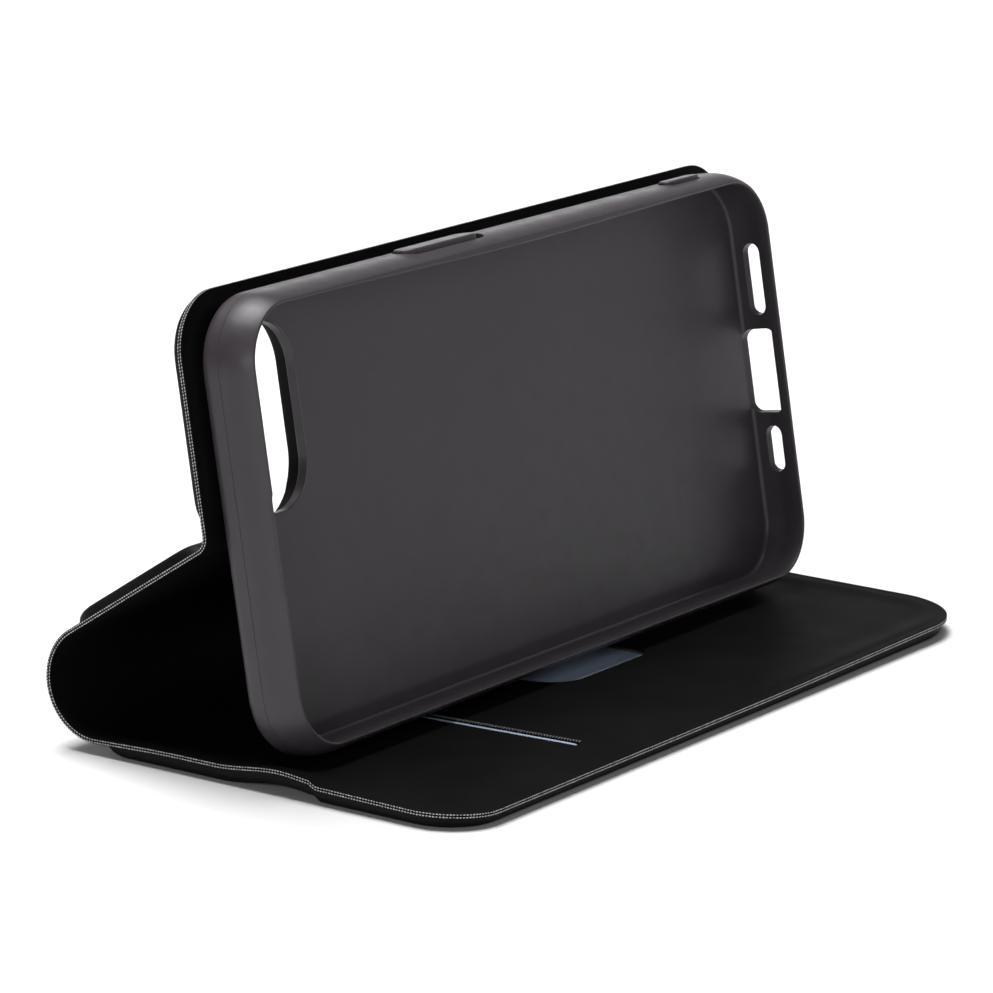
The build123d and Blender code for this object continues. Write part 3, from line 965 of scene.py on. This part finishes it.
# Phone tray. It is moulded in one piece in a warm dark grey, matt, rubbery plastic. Its
# walls crown outwards to a parting line and lean back in over the phone at the rim.
tpu_material, tpu_shader = plain_material("moulded_tray", (0.05, 0.047, 0.05), 0.5)
tpu_shader.inputs["Specular IOR Level"].default_value = 0.4
tpu_place = surface_coordinates(tpu_material, "Object")
tpu_fine = place_group(tpu_material, grain, tpu_place, Pitch=3500.0)
tpu_tone = place_group(tpu_material, mottle, tpu_place, Pitch=25.0, Lowest=0.0, Highest=1.0)
tpu_gloss = place_group(tpu_material, mottle, tpu_place, Pitch=300.0, Lowest=0.36, Highest=0.48)
tint(tpu_material, tpu_shader, tpu_tone.outputs["Value"], (0.042, 0.0355, 0.042), (0.05, 0.0425, 0.05))
wire(tpu_material.node_tree, tpu_gloss.outputs["Value"], tpu_shader.inputs["Roughness"])
add_bump(tpu_material, tpu_shader, tpu_fine.outputs["Height"], 0.08, 0.05 * MM)

tray_corner = 12.0 * MM
wall_gauge = 1.5 * MM
floor_depth = -8.6 * MM
floor_round = 0.7 * MM
back_round = 2.4 * MM
parting_depth = -6.0 * MM
crown_radius = 11.0 * MM
rim_radius = 0.3 * MM
lip_bow = 0.7 * MM
ear_span = (27.9 * MM, 44.2 * MM)
ear_cut = 0.6 * MM


def wall_arc(out, depth, radius, start, end, count):
    """Return a round stretch of the wall's section: out from the outline, and depth."""
    turn = np.linspace(radians(start), radians(end), count)
    return np.stack([out + radius * np.cos(turn), depth + radius * np.sin(turn)], -1)


lean = np.degrees(np.arcsin((-parting_depth - rim_radius) / (crown_radius - rim_radius)))
rim_out = -crown_radius + (crown_radius - rim_radius) * cos(radians(lean))
opening_out = rim_out - rim_radius
inner_depths = np.linspace(-rim_radius - 0.4 * MM, -5.4 * MM, 14)
inner_out = -wall_gauge + (opening_out + wall_gauge) * (
    1 - soft_step((-inner_depths - 0.7 * MM) / (4.7 * MM))
)
section = np.concatenate(
    [
        [(-4.2 * MM, -tray_depth), (-2.9 * MM, -tray_depth)],
        wall_arc(-back_round, back_round - tray_depth, back_round, -90, 0, 14),
        [(0, -6.9 * MM), (0, -6.1 * MM), (-0.09 * MM, -6.0 * MM), (0, -5.9 * MM)],
        wall_arc(-crown_radius, parting_depth, crown_radius, 2.2, lean, 16),
        wall_arc(rim_out, -rim_radius, rim_radius, lean + 8, 180, 10),
        np.stack([inner_out, inner_depths], -1),
        wall_arc(-wall_gauge - floor_round, floor_depth + floor_round, floor_round, 0, -90, 12),
        [(-3.3 * MM, floor_depth), (-4.6 * MM, floor_depth)],
    ]
)
lip_rows = (section[:, 1] > -4.0 * MM) & (section[:, 0] < rim_out + 0.1 * MM)


def tray_ring():
    """Return the outline's arc centres and outward directions, anticlockwise from the right.

    Along a corner the direction turns and the centre stays. Along a straight side the
    centre slides and the direction stays.
    """
    reach = tray_half - tray_corner
    low, high = tray_corner, tray_width - tray_corner
    centres = [(reach, low), (reach, high), (-reach, high), (-reach, low)]
    parts = []
    for k, (cx, cy) in enumerate(centres):
        turn = np.linspace((k - 1) * pi / 2, k * pi / 2, 22)
        ones = np.ones_like(turn)
        parts.append(np.stack([cx * ones, cy * ones, np.cos(turn), np.sin(turn)], -1))
        nx, ny = centres[(k + 1) % 4]
        steps = int(np.hypot(nx - cx, ny - cy) / (1.3 * MM))
        t = np.linspace(0, 1, steps + 1)[1:-1]
        ones = np.ones_like(t)
        side = [cx + (nx - cx) * t, cy + (ny - cy) * t]
        parts.append(np.stack([*side, cos(k * pi / 2) * ones, sin(k * pi / 2) * ones], -1))
    return np.concatenate(parts)


ring = tray_ring()
centre, outward = ring[:, None, :2], ring[:, None, 2:]
out = np.repeat(section[None, :, 0], len(ring), axis=0)
on_top = (ring[:, 3] > 0.99)[:, None] * lip_rows[None]
bow = lip_bow * np.cos(np.clip(ring[:, 0] / (tray_half - tray_corner), -1, 1) * pi / 2) ** 2
out = out - on_top * bow[:, None]
on_ear = (ring[:, 2] < -0.99) & (ring[:, 1] > ear_span[0]) & (ring[:, 1] < ear_span[1])
out = out + on_ear[:, None] * lip_rows[None] * ear_cut
walls = centre + outward * (tray_corner + out)[..., None]

left, right, low, high, radius = camera_hole
hole_middle = np.array([(left + right) / 2, (low + high) / 2])
dense_loop = rounded_loop(left, right, low, high, radius, 60) - hole_middle
loop_angle = np.unwrap(np.arctan2(dense_loop[:, 1], dense_loop[:, 0]))
loop_angle = np.append(loop_angle, loop_angle[0] + 2 * pi)
dense_loop = np.vstack([dense_loop, dense_loop[:1]])


def hole_ring(outer):
    """Return the camera hole's edge, each point in line with one of the outline's points."""
    away = outer - hole_middle
    angle = np.arctan2(away[:, 1], away[:, 0])
    angle = (angle - loop_angle[0]) % (2 * pi) + loop_angle[0]
    x = np.interp(angle, loop_angle, dense_loop[:, 0])
    y = np.interp(angle, loop_angle, dense_loop[:, 1])
    return np.stack([x, y], -1) + hole_middle


hole_edge = hole_ring(walls[:, -1])
hole_back = hole_ring(walls[:, 0])
towards = hole_edge - hole_middle
towards /= np.linalg.norm(towards, axis=1, keepdims=True)
hole_steps = [
    (hole_edge + towards * 0.8 * MM, floor_depth),
    (hole_edge + towards * 0.45 * MM, floor_depth),
    (hole_edge + towards * 0.3 * MM, floor_depth + 0.1 * MM),
    (hole_edge + towards * 0.1 * MM, floor_depth + 0.12 * MM),
    (hole_edge, floor_depth + 0.02 * MM),
    (hole_back, -tray_depth + 0.15 * MM),
    (hole_back + towards * 0.15 * MM, -tray_depth),
    (hole_back + towards * 0.8 * MM, -tray_depth),
]
flat_rows = np.concatenate([walls, np.stack([p for p, d in hole_steps], 1)], axis=1)
depth_rows = np.concatenate([section[:, 1], [d for p, d in hole_steps]])
shell_points = tray_place(flat_rows[..., 0], flat_rows[..., 1], depth_rows[None, :])
shell_rings, shell_rows = shell_points.shape[:2]
shell_faces = tube_faces(shell_rings, shell_rows, closed=True)
shell_uv = np.stack(
    np.broadcast_arrays(
        np.arange(shell_rings)[:, None] * 1.2 * MM, np.arange(shell_rows)[None, :] * 0.5 * MM
    ),
    -1,
).reshape(-1, 2)[shell_faces]
tray = add_piece("tray", shell_points, shell_faces, shell_uv.reshape(-1, 2), [tpu_material])

end_openings = [
    (55.5 * MM, -4.6 * MM, 12.9 * MM, 3.3 * MM, 1.6 * MM),
    (38.5 * MM, -5.1 * MM, 15.2 * MM, 7.0 * MM, 1.8 * MM),
    (23.9 * MM, -4.5 * MM, 8.2 * MM, 3.2 * MM, 1.55 * MM),
]
taper = 0.12
end_cutters = []
for number, (height, depth, length, width, corner_round) in enumerate(end_openings):
    loops = []
    for inward in (-0.6 * MM, 2.1 * MM):
        grow = inward * taper
        half_l, half_w = length / 2 + grow, width / 2 + grow
        loop = rounded_loop(-half_l, half_l, -half_w, half_w, corner_round + grow, 12)
        place = tray_place(tray_half - inward, height + loop[:, 0], depth + loop[:, 1])
        loops.append(place)
    end_cutters.append(prism(f"end_cutter_{number}", loops[::-1]))

key_depth = -5.4 * MM
key_gap = 0.25 * MM
keys = {
    "volume": (-17.1 * MM, 22.8 * MM, -18.0 * MM, 21.0 * MM, 4.8 * MM),
    "power": (59.0 * MM, 10.6 * MM, 59.0 * MM, 10.6 * MM, 3.2 * MM),
}


def key_loop(middle, length, width, grow, count=12):
    """Return a key's outline on the upper wall: two half circles and two straight sides."""
    half_l, half_w = length / 2 + grow, width / 2 + grow
    loop = rounded_loop(-half_l, half_l, -half_w, half_w, half_w * 0.999, count)
    return loop[:, 0] + middle, loop[:, 1] + key_depth


key_cutters = []
for key, (slot_middle, slot_long, key_middle, key_long, key_width) in keys.items():
    x, depth = key_loop(slot_middle, slot_long, key_width, key_gap)
    loops = [tray_place(x, tray_width + rise, depth) for rise in (0.8 * MM, -2.1 * MM)]
    key_cutters.append(prism(f"{key}_cutter", loops))
    x, depth = key_loop(slot_middle, slot_long, key_width, key_gap + 0.25 * MM)
    loops = [tray_place(x, tray_width + rise, depth) for rise in (-0.8 * MM, -2.2 * MM)]
    key_cutters.append(prism(f"{key}_recess_cutter", loops))
cut_with(tray, end_cutters + key_cutters, sharp=32)
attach(tray, "phone_panel")
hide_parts("phone_shell")

# Key pads. Each is a loose pad of the tray's plastic with a thin flange that keeps it in
# its opening, and a low domed head that stands proud of the wall.
pad_edge = 0.4 * MM
to_middle = -9
pad_section = np.concatenate(
    [
        [(to_middle, -1.25 * MM), (-1.0 * MM, -1.25 * MM), (0.2 * MM, -1.25 * MM)],
        [(0.25 * MM, -1.2 * MM), (0.25 * MM, -0.9 * MM), (0.2 * MM, -0.85 * MM), (0, -0.85 * MM)],
        [(0, 0.05 * MM)],
        wall_arc(-pad_edge, 0.1 * MM, pad_edge, 0, 80, 9),
        [(-0.9 * MM, 0.53 * MM), (to_middle, 0.56 * MM)],
    ]
)
for key, (slot_middle, slot_long, key_middle, key_long, key_width) in keys.items():
    loops = []
    for out, rise in pad_section:
        inset = max(out, -key_width / 2 + 0.02 * MM)
        x, depth = key_loop(key_middle, key_long, key_width, inset, 14)
        loops.append(tray_place(x, tray_width + rise, depth))
    pad = prism(f"{key}_pad", loops[::-1])
    pad.data.materials.append(tpu_material)
    pad.data.shade_smooth()
    pad.data.set_sharp_from_angle(angle=radians(40))
    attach(pad, f"{key}_key")
    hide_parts(f"{key}_key_pad")

low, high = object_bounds()
